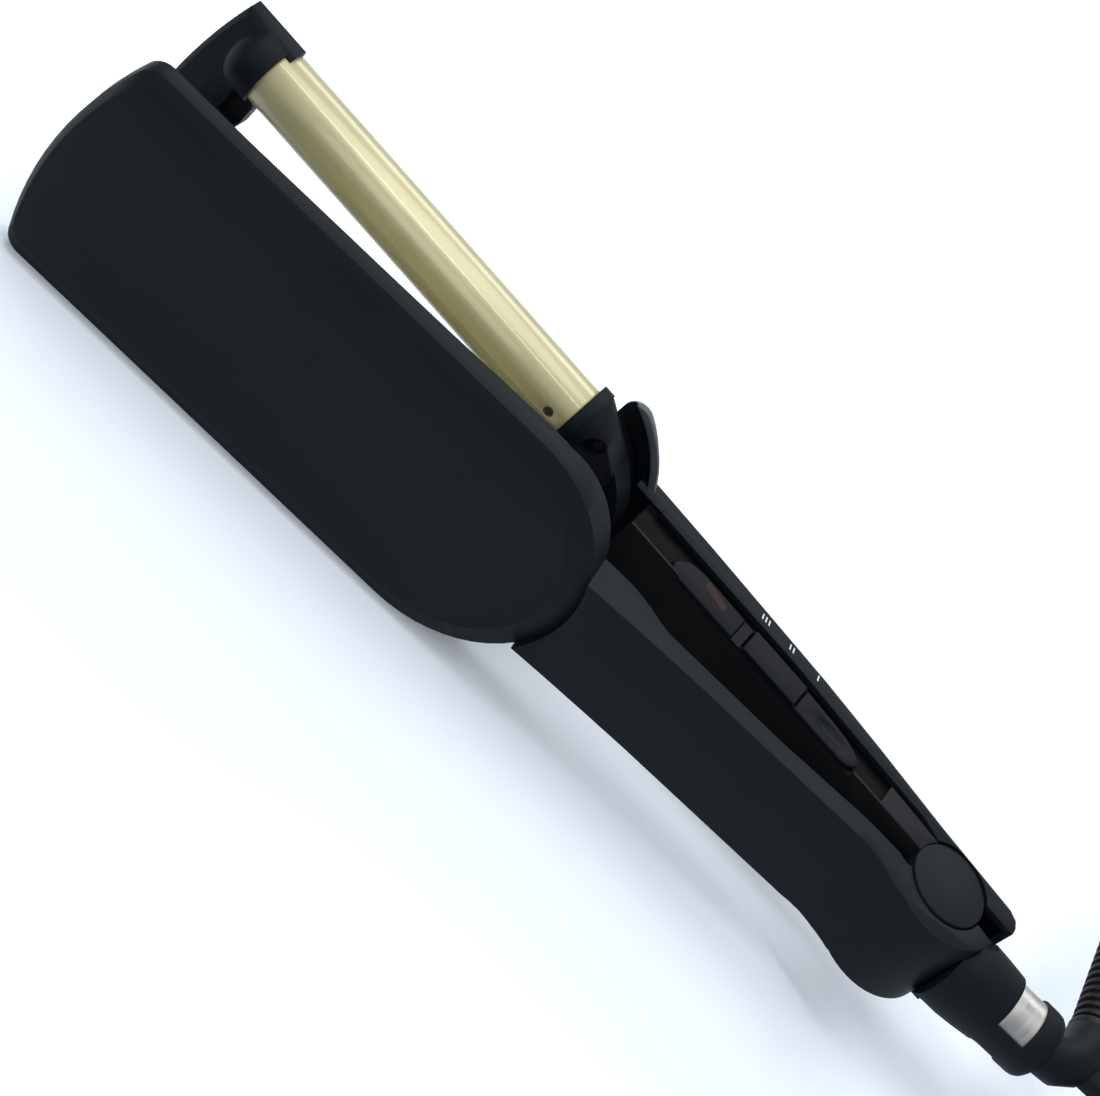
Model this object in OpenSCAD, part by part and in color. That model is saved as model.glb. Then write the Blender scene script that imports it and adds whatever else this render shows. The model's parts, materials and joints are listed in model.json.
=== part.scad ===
// Hair crimper with a wide plate head, a twin barrel arm, a slide switch and a swivel cord.
// It lies on its side: the hinge axis is vertical, +X points along the cord end,
// and the plate arm stands open on the -Y side of the barrel arm.
// Sizes along an arm (u) start at the hinge axis and run to the tip;
// sizes across (w) start at the closing plane and run outward; z starts at the middle plane.

/* [Head] */
// Width of the head across the barrels
head_w = 64; // [62:1:68]
// Distance from the hinge axis to the tip of the head
head_reach = 252.3; // [248:0.1:262]
// Distance from the hinge axis to the centre of the head's round end
head_end_reach = 135; // [133:0.5:137]
// Height of the head's outer face above the closing plane
head_face_h = 13; // [13:0.1:15]
// Height at which the head's sides turn into the bevel
head_side_h = 10.4; // [9:0.1:11]
// Width of the bevel along the head's sides
head_bevel_w = 5.7; // [3:0.1:8]
// Radius of the curve across the tip
tip_arc_r = 91; // [80:1:120]
// Radius of the tip's two corners
tip_corner_r = 5; // [3:0.5:7]
// Thickness of the plastic walls
wall = 1.8; // [1.6:0.1:2]
// Height of the head's rim above the closing plane
rim_h = 5.6; // [5.2:0.1:6]

/* [Handles] */
// Width of both handles
handle_w = 28.4; // [27.5:0.1:30]
// Width of the sunk joint line beside the switch
seam_gap = 1.7; // [1:0.1:2]
// Height of the inner cover of the barrel arm
cover_h = 8.8; // [8.5:0.1:9.2]

/* [Hinge] */
// Opening angle at rest
open_angle = 7.055; // [5:0.1:9]
// Radius of the round hinge caps
cap_r = 10.2; // [9.5:0.1:10.6]
// Radius of the plate arm's knuckle ring
ring_r = 15.6; // [14.8:0.1:15.8]
// Height of the knuckle ring
ring_h = 26.4; // [24:0.2:27]
// Radius of the hinge pin
pin_r = 2; // [1.5:0.1:2.5]
// Running clearance round the pin
pin_gap = 0.05; // [0.02:0.01:0.1]
// Clearance between parts that turn past each other
turn_gap = 0.4; // [0.3:0.05:0.5]

/* [Barrels] */
// Diameter of the barrels
barrel_d = 15; // [14:0.1:15.6]
// Distance between the barrel axes
barrel_spacing = 47; // [46.4:0.1:47.6]
// Wall of the barrels
barrel_wall = 1; // [0.8:0.1:1.5]
// Height of the barrel axes beyond the closing plane
barrel_drop = 1.8; // [1.6:0.1:2]
// Distance from the hinge axis to the barrels' near end
barrel_start = 130; // [129.5:0.1:130.5]
// Length of the barrels
barrel_len = 103; // [102.5:0.5:104]
// Diameter of the collars and end bosses round the barrels
collar_d = 16.8; // [16.6:0.1:17]

/* [Wave plate] */
// Gap left for hair between a barrel and its channel
hair_gap = 0.5; // [0.4:0.1:0.8]
// Thickness of the plate
plate_t = 1; // [0.8:0.1:1.2]
// Length of the plate
plate_len = 90; // [80:1:91]
// Height of the ridge's centre above the closing plane
ridge_centre_h = 12; // [11:0.5:13]

/* [Switch] */
// Length of the sliding knob
knob_len = 16; // [13:0.5:16.5]
// Travel of the sliding knob
knob_travel = 5; // [4:0.5:5]
// Width of the sliding knob
knob_w = 6.4; // [5.5:0.1:6.8]
// Height that the knob stands out
knob_proud = 0.9; // [0.6:0.1:1.5]

/* [Cord end] */
// Radius of the neck where the swivel ring sits
neck_r = 9; // [8.8:0.1:9.4]
// Radius of the swivel ring
swivel_ring_r = 8.3; // [8:0.1:8.3]
// Length of the swivel ring
swivel_ring_len = 10; // [9:0.5:10.5]
// Radius of the ball in the swivel ring
ball_r = 5.6; // [5.2:0.1:6]
// Thickness of the hanging loop
loop_t = 4.4; // [3.5:0.1:5]
// Radius of the hole in the hanging loop
loop_hole_r = 3.2; // [2.8:0.1:3.6]
// Length of the strain relief
relief_len = 34; // [30:1:38]
// Number of ribs on the strain relief
relief_ribs = 11; // [7:1:12]
// Diameter of the cord
cord_d = 6; // [5.5:0.1:6.2]

/* [Hidden] */
$fn = 64;

// Middle plane, half widths and the places that follow from the sizes above
mid_z = head_w / 2;
hh = handle_w / 2;
shell_inner = hh - wall;
barrel_r = barrel_d / 2;
barrel_z = barrel_spacing / 2;
barrel_end = barrel_start + barrel_len;
collar_r = collar_d / 2;
seam_h = cover_h + seam_gap;
ridge_reach = norm([barrel_z, ridge_centre_h - barrel_drop]);
channel_r = barrel_r + hair_gap;
ridge_r = ridge_reach - channel_r;
tip_centre = head_reach - tip_arc_r;
neck_w0 = 1.2;
ball_x = 36.4;
neck_face = 18.6;
neck_end = 44;
cap_u = barrel_end - 3.6;
boot_turn = [52.2, 18];
relief_lean = 9.5;
relief_base_r = 5.4;
relief_tip_r = 3.9;
loop_at = [61.5, 13];
loop_r = loop_hole_r + 3.4;

// The object's box is centred on the origin
x_low = -head_reach * cos(open_angle) + rim_h * sin(open_angle);
x_high = loop_at.x + loop_r;
y_low = -(head_reach - 3) * sin(open_angle) - head_face_h * cos(open_angle);
y_high = 18.2;
hinge_x = -(x_low + x_high) / 2;
hinge_y = -(y_low + y_high) / 2;

module at_hinge() translate([hinge_x, hinge_y, mid_z]) children();
// Local x runs to the tip and local y outward, on each arm
module rear_arm() at_hinge() mirror([1, 0, 0]) children();
module front_arm() at_hinge() rotate(180 + open_angle) children();
// A side outline drawn in (u, w), given its height about the middle plane
module slab(h) translate([0, 0, -h / 2]) linear_extrude(h) children();
module along_u(u) translate([u, 0, 0]) rotate([0, 90, 0]) children();
module both() for (s = [0, 1]) mirror([0, 0, s]) children();

function arc(c, r, a, b, n) = [for (i = [0:n]) c + r * [cos(a + (b - a) * i / n), sin(a + (b - a) * i / n)]];

// Solid through a list of rings with equal counts of points
module loft(rings) {
    m = len(rings[0]);
    last = len(rings) - 1;
    sides = [for (k = [0:last - 1], i = [0:m - 1]) let (a = k * m, b = a + m, j = (i + 1) % m)
        each [[a + i, b + i, b + j], [a + i, b + j, a + j]]];
    ends = [[for (i = [0:m - 1]) i], [for (i = [m - 1:-1:0]) last * m + i]];
    polyhedron([for (r = rings) each r], concat(sides, ends));
}

// Plan of the head: half width h, tip pulled back by t, both ends round
function head_plan(h, t, end_r) = let (
        big = tip_arc_r - t,
        c = tip_corner_r,
        cu = tip_centre + sqrt(pow(big - c, 2) - pow(h - c, 2)),
        turn = asin((h - c) / (big - c)))
    concat(arc([head_end_reach, 0], end_r, 270, 90, 28),
        arc([cu, h - c], c, 90, turn, 5),
        arc([tip_centre, 0], big, turn, -turn, 12),
        arc([cu, c - h], c, -turn, -90, 5));

function raise(plan, w) = [for (p = plan) [p.x, w, p.y]];

// ---------------------------------------------------------------- barrel arm

rear_back_line = [[-18.2, 8.6], [-17.4, 10.4], [-15, 11.6], [8.5, 13], [31, 15.1], [50, 16.5],
    [73, 17.2], [89, 17.8], [112, 18.2]];
rear_split_line = [[112, 0], [57, 0], [43, -0.9], [29, -1.4], [14, -1.9]];
round_r = 3;

function back_section(p, low, cut, r) = let (hz = hh - cut, top = p.y - cut) [
    for (q = concat([[low, -hz]], arc([top - r, r - hz], r, -90, 0, 5), arc([top - r, hz - r], r, 0, 90, 5),
        [[low, hz]])) [p.x, q.x, q.y]];

// Sides of the shell end at the sunk joint line
module rear_split() slab(head_w) polygon(concat([[-8, -30], [-8, 6.6], [8, 6.8]],
    [for (i = [len(rear_split_line) - 1:-1:0]) rear_split_line[i] + [0, seam_h]], [[112, -30]]));

// Round plan about a centre on the middle line, cut straight at the front
module base_plan(centre, r, front) intersection() {
    translate([centre, 0, 0]) circle(r, $fn = 96);
    translate([centre - r, -r]) square([front - centre + r, 2 * r]);
}
module flange_plan(r, front) offset(r = base_corner_r) offset(delta = -base_corner_r)
    base_plan(head_end_reach, r, front);
module block_plan(r) base_plan(block_centre, r, base_front);
base_front = 126;
base_back = 18.2;
base_rim_h = 12.6;
base_r = head_w / 2 - 1.4;
base_slope = 2.4;
base_corner_r = 4;
flange_front = base_front + 1;
block_centre = head_end_reach - 5;
block_r = head_w / 2 - 9.4;
block_face = 1;
block_step_h = 8;
block_step = 2.4;
cover_end = block_centre - block_r - 0.7;

// Turns a plan drawn in (u, z) into a solid between two heights
module plate_between(low, high) translate([0, high, 0]) rotate([90, 0, 0]) linear_extrude(high - low) children();

module rear_outer_shell() color("#17181b") rear_arm() difference() {
    union() {
        difference() {
            loft([for (p = rear_back_line) back_section(p, -1.4, 0, round_r)]);
            loft([for (p = concat([[-16.4, 11]], [for (i = [2:len(rear_back_line) - 1]) rear_back_line[i]]))
                back_section(p, -4, wall, round_r - wall / 2)]);
        }
        difference() {
            hull() {
                plate_between(base_rim_h, base_rim_h + 1) flange_plan(base_r, flange_front);
                plate_between(base_back - 1, base_back) flange_plan(base_r - base_slope, flange_front);
            }
            hull() {
                plate_between(0, base_rim_h + 1) flange_plan(base_r - wall, flange_front + 5);
                plate_between(base_back - wall - 1, base_back - wall)
                    flange_plan(base_r - base_slope - wall, flange_front + 5);
            }
            translate([head_end_reach - 49, 0, -shell_inner]) cube([30, base_back - wall, 2 * shell_inner]);
        }
    }
    rear_split();
    cylinder(r = cap_r + turn_gap, h = head_w, center = true);
    // Room for the end of the knuckle ring
    slab(ring_h + 2 * turn_gap) polygon([[-20, -5], [-17.2, -2.4], [-10, 1], [-6, 1], [-6, -5]]);
    // Seat of the neck's tongue
    translate([-neck_face - 1, tongue_w0 - 0.1, -tongue_h - 0.1]) cube([8, tongue_t + 0.2, 2 * tongue_h + 0.2]);
    plate_between(-3, base_rim_h) translate([head_end_reach - head_w / 2 + 0.5, -40]) square([20, 80]);
}

tongue_w0 = 2;
tongue_t = 4;
tongue_h = 5;

cover_low = 0.3;
cheek_in = 9.2;
cheek_disc = 11.5;
knuckle_h = 2 * (cheek_in - turn_gap);
cover_line = [[-7.6, 6.2], [8, 6.4], [14, 6.9], [29, 7.6], [43, 8.1], [57, 8.8]];

module cover_side() polygon(concat([[cover_end, cover_low], [cover_end, cover_h]],
    [for (i = [len(cover_line) - 1:-1:0]) [cover_line[i].x, min(cover_line[i].y, cover_h)]],
    [[-7.6, 0], [10, cover_low]]));

panel_u = [33, 94];
panel_w = [1, 8.2];
panel_deep = 2.4;
panel_gap = 0.35;
panel_face = hh - 0.5;

// Boat shaped plan of the switch panel
module panel_plan(grow) offset(delta = grow) polygon([[panel_u[0], 2.4], [panel_u[0] + 3, panel_w[0]],
    [panel_u[1] - 2, panel_w[0]], [panel_u[1], 3.4], [panel_u[1] - 3, 6], [panel_u[1] - 9, 7.6],
    [panel_u[1] - 20, panel_w[1]], [panel_u[0] + 16, 7.8], [panel_u[0] + 8, 6.6], [panel_u[0] + 2, 4.6]]);

module rear_inner_cover() color("#141517") rear_arm() difference() {
    union() {
        slab(2 * hh - 0.4) cover_side();
        slab(2 * shell_inner - 0.8) polygon([[cover_end, cover_low], [cover_end, 13.6], [57, 13.4], [31, 12],
            [14, 10.4], [14, cover_low]]);
        slab(2 * cheek_disc) circle(cap_r);
    }
    // Room for the plate arm's knuckle and for the round caps
    cylinder(r = cap_r + turn_gap + 0.1, h = knuckle_h + 2 * turn_gap, center = true);
    both() translate([0, 0, cheek_disc]) cylinder(r = cap_r + 0.02, h = 10);
    cylinder(r = pin_r, h = head_w, center = true);
    // Hollow for the board and the wires
    translate([17, cover_low + wall, -cavity_h]) cube([cover_end - 17 - wall, 30, 2 * cavity_h]);
    translate([cover_end - 5, 5, -4]) cube([10, 20, 8]);
    // Pocket of the switch panel, and the window behind it
    translate([0, 0, panel_face - panel_deep]) linear_extrude(10) panel_plan(panel_gap);
    translate([panel_u[0] + 5, 2.6, 0]) cube([panel_u[1] - panel_u[0] - 12, 4.2, hh]);
}
cavity_h = 10.4;

slot_u = [52.8, 74.6];
slot_w = [1.5, 7.9];
knob_side = 0.25;
knob_start = slot_u[0] + 0.5;
lens_u = [77.6, 85.4];
lens_w = [5.2, 7.2];

module switch_panel() color("#1b1c1f") rear_arm() difference() {
    translate([0, 0, panel_face - panel_deep]) linear_extrude(panel_deep) panel_plan(0);
    translate([slot_u[0], slot_w[0] + (slot_w[1] - slot_w[0] - knob_w) / 2 - knob_side, panel_face - 1.3])
        cube([slot_u[1] - slot_u[0], knob_w + 2 * knob_side, 5]);
    translate([slot_u[0] + 3, 3.4, 0]) cube([slot_u[1] - slot_u[0] - 6, 2.6, 20]);
    translate([lens_u[0] - 0.05, lens_w[0] - 0.05, 0])
        cube([lens_u[1] - lens_u[0] + 0.1, lens_w[1] - lens_w[0] + 0.1, 20]);
    // Shallow finger mark beside the knob
    translate([0, 0, panel_face - 0.4]) linear_extrude(2) hull()
        for (u = [39.8, 46.4]) translate([u, 4.2]) circle(1.7, $fn = 32);
}

module indicator_lens() color("#5a1414") rear_arm()
    translate([lens_u[0], lens_w[0], panel_face - panel_deep]) cube([lens_u[1] - lens_u[0],
        lens_w[1] - lens_w[0], panel_deep - 0.2]);

module slide_knob() color("#202124") rear_arm() {
    w0 = slot_w[0] + (slot_w[1] - slot_w[0] - knob_w) / 2;
    translate([knob_start, w0, panel_face - 1.2]) difference() {
        cube([knob_len, knob_w, 1.2 + knob_proud]);
        for (i = [0:6]) translate([knob_len / 2 - 6 + 2 * i - 0.3, -1, 0.9 + knob_proud])
            cube([0.6, knob_w + 2, 2]);
    }
    // Stem that works the switch behind the panel
    translate([knob_start + knob_len / 2 - 2, 3.7, panel_face - panel_deep - 2.3])
        cube([4, 2, panel_deep + 1.4]);
}

board_z = 6.2;
board_t = 1.6;
board_start = 24;
board_w = [3, 11.4];

module slide_switch() color("#2b2c30") rear_arm() translate([46, 2.5, board_z + board_t]) difference() {
    cube([27, 8, cavity_h - 0.1 - board_z - board_t]);
    translate([5, 1, 0.8]) cube([19, 2.6, 10]);
}

module circuit_board() color("#2f5d3a") rear_arm() {
    translate([board_start, board_w[0] - 0.9, board_z])
        cube([cover_end - wall - 0.8 - board_start, board_w[1] - board_w[0] + 0.9, board_t]);
    for (u = [86, 93]) translate([u, 5, board_z - 3]) cube([4, 4, 3]);
    translate([33, 4.6, board_z - 5]) cube([9, 5, 5]);
}

module barrel_base() color("#131416") rear_arm() difference() {
    union() {
        plate_between(block_face, block_step_h) block_plan(block_r);
        plate_between(block_step_h - 1, base_back - wall - 0.1) block_plan(block_r - block_step);
        // Shoulders that run from the collars down into the block
        both() hull() {
            translate([0, -barrel_drop, barrel_z]) along_u(barrel_start - 0.3) collar_plan(collar_r - 0.5, 0.3);
            plate_between(block_face, block_step_h) translate([base_front - 4, shoulder_z]) circle(shoulder_r);
        }
    }
    both() translate([0, -barrel_drop, barrel_z]) along_u(heater_start) cylinder(r = heater_r, h = 50);
    // The middle is left open
    plate_between(-30, 9) translate([base_front - 5, -middle_open]) square([20, 2 * middle_open]);
    // Wire way into the handle
    translate([cover_end - 1, 7, -3]) cube([9, 5, 6]);
    base_screw_places() {
        translate([0, 0, screw_sink - 0.01]) cylinder(r = screw_r, h = 9);
        translate([0, 0, -8]) cylinder(r = screw_head_r + 0.15, h = 8 + screw_sink);
    }
}

shoulder_z = 15.5;
shoulder_r = 5.5;
middle_open = 13;
heater_r = 4.5;
heater_start = barrel_start - 1.4;
screw_r = 1.5;
screw_head_r = 2.3;
screw_sink = 2.2;

// The deep screws beside the collars, pointing into the block
module base_screw_places() both() translate([base_front - 1.2, block_face, barrel_z - 3.9])
    rotate([-90, 0, 0]) children();

module phillips_screw(head_r, shank_r, length) {
    difference() {
        translate([0, 0, -1.6]) cylinder(r = head_r, h = 1.6);
        for (a = [0, 90]) rotate(a) translate([-head_r * 0.6, -0.35, -2]) cube([head_r * 1.2, 0.7, 1.4]);
    }
    cylinder(r = shank_r, h = length);
}

module base_screws() color("#3a3b3f") rear_arm() base_screw_places()
    translate([0, 0, screw_sink]) phillips_screw(screw_head_r, screw_r, 8);

collar_len = 3;
collar_back = 1.6;

// Outline of a collar: round at the front, a little deeper at the back
module collar_plan(r, length) hull() for (back = [0, collar_back]) translate([0, back, 0]) cylinder(r = r, h = length);

module barrel_collars() color("#17181a") rear_arm() both() translate([0, -barrel_drop, barrel_z])
    along_u(barrel_start) difference() {
        collar_plan(collar_r, collar_len);
        translate([0, 0, -1]) cylinder(r = barrel_r + 0.02, h = 20);
        translate([0, 0, collar_len - 0.8]) cylinder(r1 = barrel_r, r2 = barrel_r + 0.5, h = 0.9);
    }

barrel_hole_u = barrel_start + 7.2;
barrel_hole_turn = 8;

module barrel() difference() {
    along_u(barrel_start) cylinder(r = barrel_r, h = barrel_len);
    along_u(barrel_start - 1) cylinder(r = barrel_r - barrel_wall, h = barrel_len + 2);
    barrel_hole_place() cylinder(r = 1.25, h = 10, center = true);
}
module barrel_hole_place() translate([barrel_hole_u, 0, 0]) rotate([90 - barrel_hole_turn, 0, 0])
    translate([0, 0, barrel_r]) children();

module upper_barrel() color("#d8cda3") rear_arm() translate([0, -barrel_drop, barrel_z]) barrel();
module lower_barrel() color("#d8cda3") rear_arm() mirror([0, 0, 1]) translate([0, -barrel_drop, barrel_z]) barrel();

module barrel_screws() color("#5b5648") rear_arm() both() translate([0, -barrel_drop, barrel_z])
    barrel_hole_place() difference() {
        translate([0, 0, -3]) cylinder(r = 1.25, h = 2.6);
        for (a = [0, 90]) rotate(a) translate([-0.9, -0.2, -0.9]) cube([1.8, 0.4, 1]);
    }

module barrel_heaters() color("#c8c4bb") rear_arm() both() translate([0, -barrel_drop, barrel_z]) {
    along_u(heater_start) cylinder(r = heater_r - 0.1, h = barrel_end + 2.4 - heater_start);
    for (u = [barrel_start + 10, barrel_start + barrel_len / 2, barrel_end - 10])
        along_u(u) difference() {
            cylinder(r = barrel_r - barrel_wall - 0.05, h = 3);
            translate([0, 0, -1]) cylinder(r = heater_r - 0.1, h = 6);
        }
}

cap_front = 4;
cap_back = 2.4;
cap_reach = barrel_end + 14.7;
cap_arc_r = 140;
cap_notch = 6.4;
boss_start = barrel_end - 2;

module cap_plan(h, t) polygon(concat([[cap_u, -h], [cap_u, h]],
    arc([cap_reach - cap_arc_r, 0], cap_arc_r - t, asin(h / cap_arc_r), -asin(h / cap_arc_r), 16)));

module tip_cap() color("#17181a") rear_arm() difference() {
    union() {
        hull() {
            plate_between(1.2 - cap_front, cap_back - 1.2) cap_plan(head_w / 2, 0);
            plate_between(-cap_front, cap_back) cap_plan(head_w / 2 - 1.2, 1.2);
        }
        both() translate([0, -barrel_drop, barrel_z]) along_u(boss_start) {
            cylinder(r = collar_r, h = 5.2);
            translate([0, 0, 5.2]) intersection() {
                scale([1, 1, 0.625]) sphere(collar_r);
                cylinder(r = collar_r, h = 20);
            }
        }
    }
    // Sockets of the barrels and their heaters
    both() translate([0, -barrel_drop, barrel_z]) {
        along_u(boss_start - 20) cylinder(r = barrel_r, h = 20 + barrel_end - boss_start);
        along_u(boss_start) cylinder(r = heater_r, h = 5);
    }
    // Open notch in the middle, and a sunk panel on each side of it
    plate_between(-30, 30) {
        translate([cap_u - 5, -cap_notch]) square([16 - cap_notch, 2 * cap_notch]);
        translate([cap_u + 11 - cap_notch, 0]) circle(cap_notch);
    }
    both() translate([cap_u - 3, -30, cap_notch + 1.2]) cube([8.4, 31 - cap_front + 1, 7]);
    // Clear of the barrels' near side
    both() translate([0, -barrel_drop, barrel_z]) along_u(cap_u - 1) cylinder(r = barrel_r, h = 3);
}

// ---------------------------------------------------------------- hinge

module hinge_pin() color("#9a9ca0") at_hinge() cylinder(r = pin_r, h = 2 * cheek_disc - 0.4, center = true);

module hinge_caps() color("#1d1e21") at_hinge() both() translate([0, 0, cheek_disc]) difference() {
    cylinder(r = cap_r, h = 2.2);
    translate([0, 0, 2.0]) difference() {
        cylinder(r = 60, h = 1);
        cylinder(r1 = cap_r, r2 = cap_r - 0.6, h = 1);
    }
}

spring_wire = 1.2;
spring_r = 5;
spring_turns = 4;
spring_from = -0.6;
spring_pitch = 2.1;

// A helix swept as one tube of six sides
module opening_spring() color("#8d9094") at_hinge() {
    steps = spring_turns * 12;
    rings = [for (k = [0:steps]) let (a = 360 * spring_turns * k / steps, z = spring_from + spring_pitch * k / 12)
        [for (j = [0:5]) let (r = spring_r + spring_wire / 2 * cos(60 * j))
            [r * cos(a), r * sin(a), z + spring_wire / 2 * sin(60 * j)]]];
    loft([for (r = rings) [for (i = [5:-1:0]) r[i]]]);
}

// ---------------------------------------------------------------- neck and swivel

module on_neck(x) at_hinge() translate([x, neck_w0, 0]) rotate([0, 90, 0]) children();

neck_root_r = 10.3;
window_half = 66;
window_x = [31.3, 40.6];

module neck_sleeve() color("#191a1c") difference() {
    union() {
        on_neck(0) rotate_extrude() polygon(concat(
            [[0, 8], [neck_root_r, 8], [neck_root_r, 20], [9.9, 24], [9.4, 28], [neck_r, 31],
                [neck_r, neck_end - 3]],
            arc([neck_r - 2.6, neck_end - 3], 2.6, 10, 90, 4), [[0, neck_end]]));
        at_hinge() translate([neck_face - 6, tongue_w0, -tongue_h]) cube([8, tongue_t, 2 * tongue_h]);
    }
    // Hollow that follows the knuckle ring, and the flat that meets the shell
    at_hinge() cylinder(r = ring_r + turn_gap, h = head_w, center = true);
    at_hinge() difference() {
        translate([0, -1.5, -head_w / 2]) cube([neck_face, 40, head_w]);
        translate([neck_face - 6, tongue_w0, -tongue_h]) cube([10, tongue_t, 2 * tongue_h]);
    }
    at_hinge() translate([-10, -40, -head_w / 2]) cube([22, 80, head_w]);
    // Seat of the swivel ring, way of the wires and mouth of the boot
    on_neck(ball_x - swivel_ring_len / 2) cylinder(r = swivel_ring_r, h = swivel_ring_len);
    on_neck(5) cylinder(r = 2.5, h = 60);
    on_neck(ball_x) cylinder(r = ball_r + 0.4, h = 30);
    on_neck(window_x[0]) intersection() {
        difference() {
            cylinder(r = 20, h = window_x[1] - window_x[0]);
            translate([0, 0, -1]) cylinder(r = swivel_ring_r - 0.01, h = 20);
        }
        both_windows();
    }
}

// Wedges that open the neck above and below
module both_windows() for (s = [0, 180]) rotate(s) linear_extrude(20)
    polygon([[0, 0], for (a = [-window_half, -window_half / 3, window_half / 3, window_half]) 40 * [cos(a), sin(a)]]);

module swivel_ring() color("#c9ccd0") on_neck(ball_x - swivel_ring_len / 2) difference() {
    cylinder(r = swivel_ring_r, h = swivel_ring_len);
    translate([0, 0, -1]) cylinder(r = ball_r + pin_gap, h = swivel_ring_len + 2);
}

// Middle line of the boot: out of the ring, then round to the strain relief
boot_line = [[40, 1.2], [44, 1.6], [48, 3.4], [51, 7], [52.4, 12], boot_turn];
boot_radii = [4, 5, 5.8, 6, 5.8, relief_base_r];
boot_heads = [0, 14, 38, 62, 82, 90 + relief_lean];

function disc_at(p, r, head, n) = [for (i = [0:n - 1]) let (a = 360 * i / n, s = r * cos(a))
    [p.x - s * sin(head), p.y + s * cos(head), r * sin(a)]];

module swivel_boot() color("#1a1b1d") at_hinge() {
    difference() {
        union() {
            translate([ball_x, neck_w0, 0]) sphere(ball_r);
            translate([ball_x, neck_w0, 0]) rotate([0, 90, 0]) cylinder(r = 4, h = 4);
            loft([for (k = [0:len(boot_line) - 1]) disc_at(boot_line[k], boot_radii[k], boot_heads[k], 20)]);
            slab(loop_t) hull() {
                translate(loop_at) circle(loop_r, $fn = 32);
                translate([52, 9]) circle(4, $fn = 32);
            }
        }
        translate([loop_at.x, loop_at.y, 0]) cylinder(r = loop_hole_r, h = 20, center = true);
    }
}

relief_gap = 0.4;

module on_relief() at_hinge() translate([boot_turn.x, boot_turn.y, 0]) rotate(relief_lean) rotate([-90, 0, 0]) children();

function taper(h) = relief_base_r - 0.5 + (relief_tip_r - relief_base_r + 0.4) * h / relief_len;

// Tapered sleeve with ribs round it
module strain_relief() color("#161719") on_relief() {
    rib = (relief_len - 4) / relief_ribs;
    rotate_extrude($fn = 24) polygon(concat([[0, 0], [relief_base_r - 0.2, 0], [relief_base_r - 0.2, 2]],
        [for (i = [0:relief_ribs - 1], s = [0:3]) let (h = 2 + rib * (i + [0, 0.45, 0.5, 0.95][s]))
            [taper(h) - [0.9, 0.9, 0, 0][s], h]],
        [[relief_tip_r - 0.4, relief_len - 1], [relief_tip_r - 0.4, relief_len], [0, relief_len]]));
}

// ---------------------------------------------------------------- plate arm

// Edge of the head's rim, which rises gently from the round end to the tip
rim_line = [[96, rim_h - 4.6], [110, rim_h - 4.5], [116, rim_h - 4.1], [122, rim_h - 3.4], [126, rim_h - 2.6],
    [129.5, rim_h - 1.5], [134, rim_h - 1.4], [150, rim_h - 1], [164, rim_h - 0.5], [180, rim_h - 0.15],
    [204, rim_h + 0.2], [222, rim_h + 0.5], [236, rim_h + 0.4], [head_reach, rim_h], [head_reach + 20, rim_h]];
module rim_cut() slab(2 * head_w) polygon(concat([[96, -20]], rim_line, [[head_reach + 20, -20]]));

module front_head_shell() color("#1b1c20") front_arm() difference() {
    h = head_w / 2;
    loft([raise(head_plan(h, 0, h), 0), raise(head_plan(h, 0, h), head_side_h),
        raise(head_plan(h - head_bevel_w, 1.6, h - head_bevel_w), head_face_h)]);
    plate_between(-5, head_face_h - wall) polygon(head_plan(h - wall, wall, h - wall));
    rim_cut();
    // Room for the collars when the arms are closed
    both() translate([0, closed_collar_w, barrel_z]) along_u(barrel_start - 0.6)
        cylinder(r = collar_r + turn_gap, h = collar_len + 1.2);
}
closed_gap = 1;
closed_collar_w = barrel_drop - (barrel_start + collar_len / 2) * sin(closed_gap);

front_face_line = [[116, 13], [108, 12.7], [96, 11.9], [84, 11.3], [72, 10.8], [60, 10.6], [48, 10.4],
    [36, 10.2], [26, 10], [21, 10], [18, 10.3], [15.5, 11], [13, 11.9], [10.5, 12.7], [8, 13.6]];
front_inner_line = [[11, 4.2], [14, 3.4], [32, 4.2], [51, 5.2], [70, 5.9], [80, 5.9], [85, 5.3], [89, 4.2],
    [92, 3.1], [95, 2.3], [98, 1.9], [102, 1.8], [116, 2.2]];
ring_from = 60;
ring_to = 166.3;

// Side outline of the handle with the knuckle ring round the hinge
module front_side() polygon(concat(front_face_line, arc([0, 0], ring_r, ring_from, ring_to, 16),
    [[0, 0]], front_inner_line));

// The handle narrows to the ring's height
module front_plan() let (r = ring_h / 2, h = hh + 0.01) plate_between(-20, 30)
    polygon([[-20, -r], [12, -r], [24, -h], [120, -h], [120, h], [24, h], [12, r], [-20, r]]);

module front_handle_shell() color("#1b1c20") front_arm() difference() {
    union() {
        intersection() {
            slab(handle_w) front_side();
            front_plan();
        }
        slab(knuckle_h) circle(cap_r);
    }
    // Round end of the head
    translate([head_end_reach, 0, 0]) rotate([90, 0, 0]) cylinder(r = head_w / 2 + 0.05, h = 60, center = true, $fn = 96);
    cylinder(r = pin_r + pin_gap, h = head_w, center = true);
    // Cup for the spring
    translate([0, 0, spring_from - 1]) cylinder(r = spring_r + spring_wire, h = 20);
    // Hollow under the face
    slab(2 * shell_inner) polygon([[cover_start - 0.2, 0], [cover_start - 0.2, 8], [50, 8.4], [74, 8.8],
        [cover_reach + 0.2, 10], [cover_reach + 0.2, 0]]);
    both() translate([0, 0, knuckle_h / 2]) cylinder(r = cap_r + turn_gap, h = 20);
}

cover_start = 18.2;
cover_reach = head_end_reach - head_w / 2 - 2.2;

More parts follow.
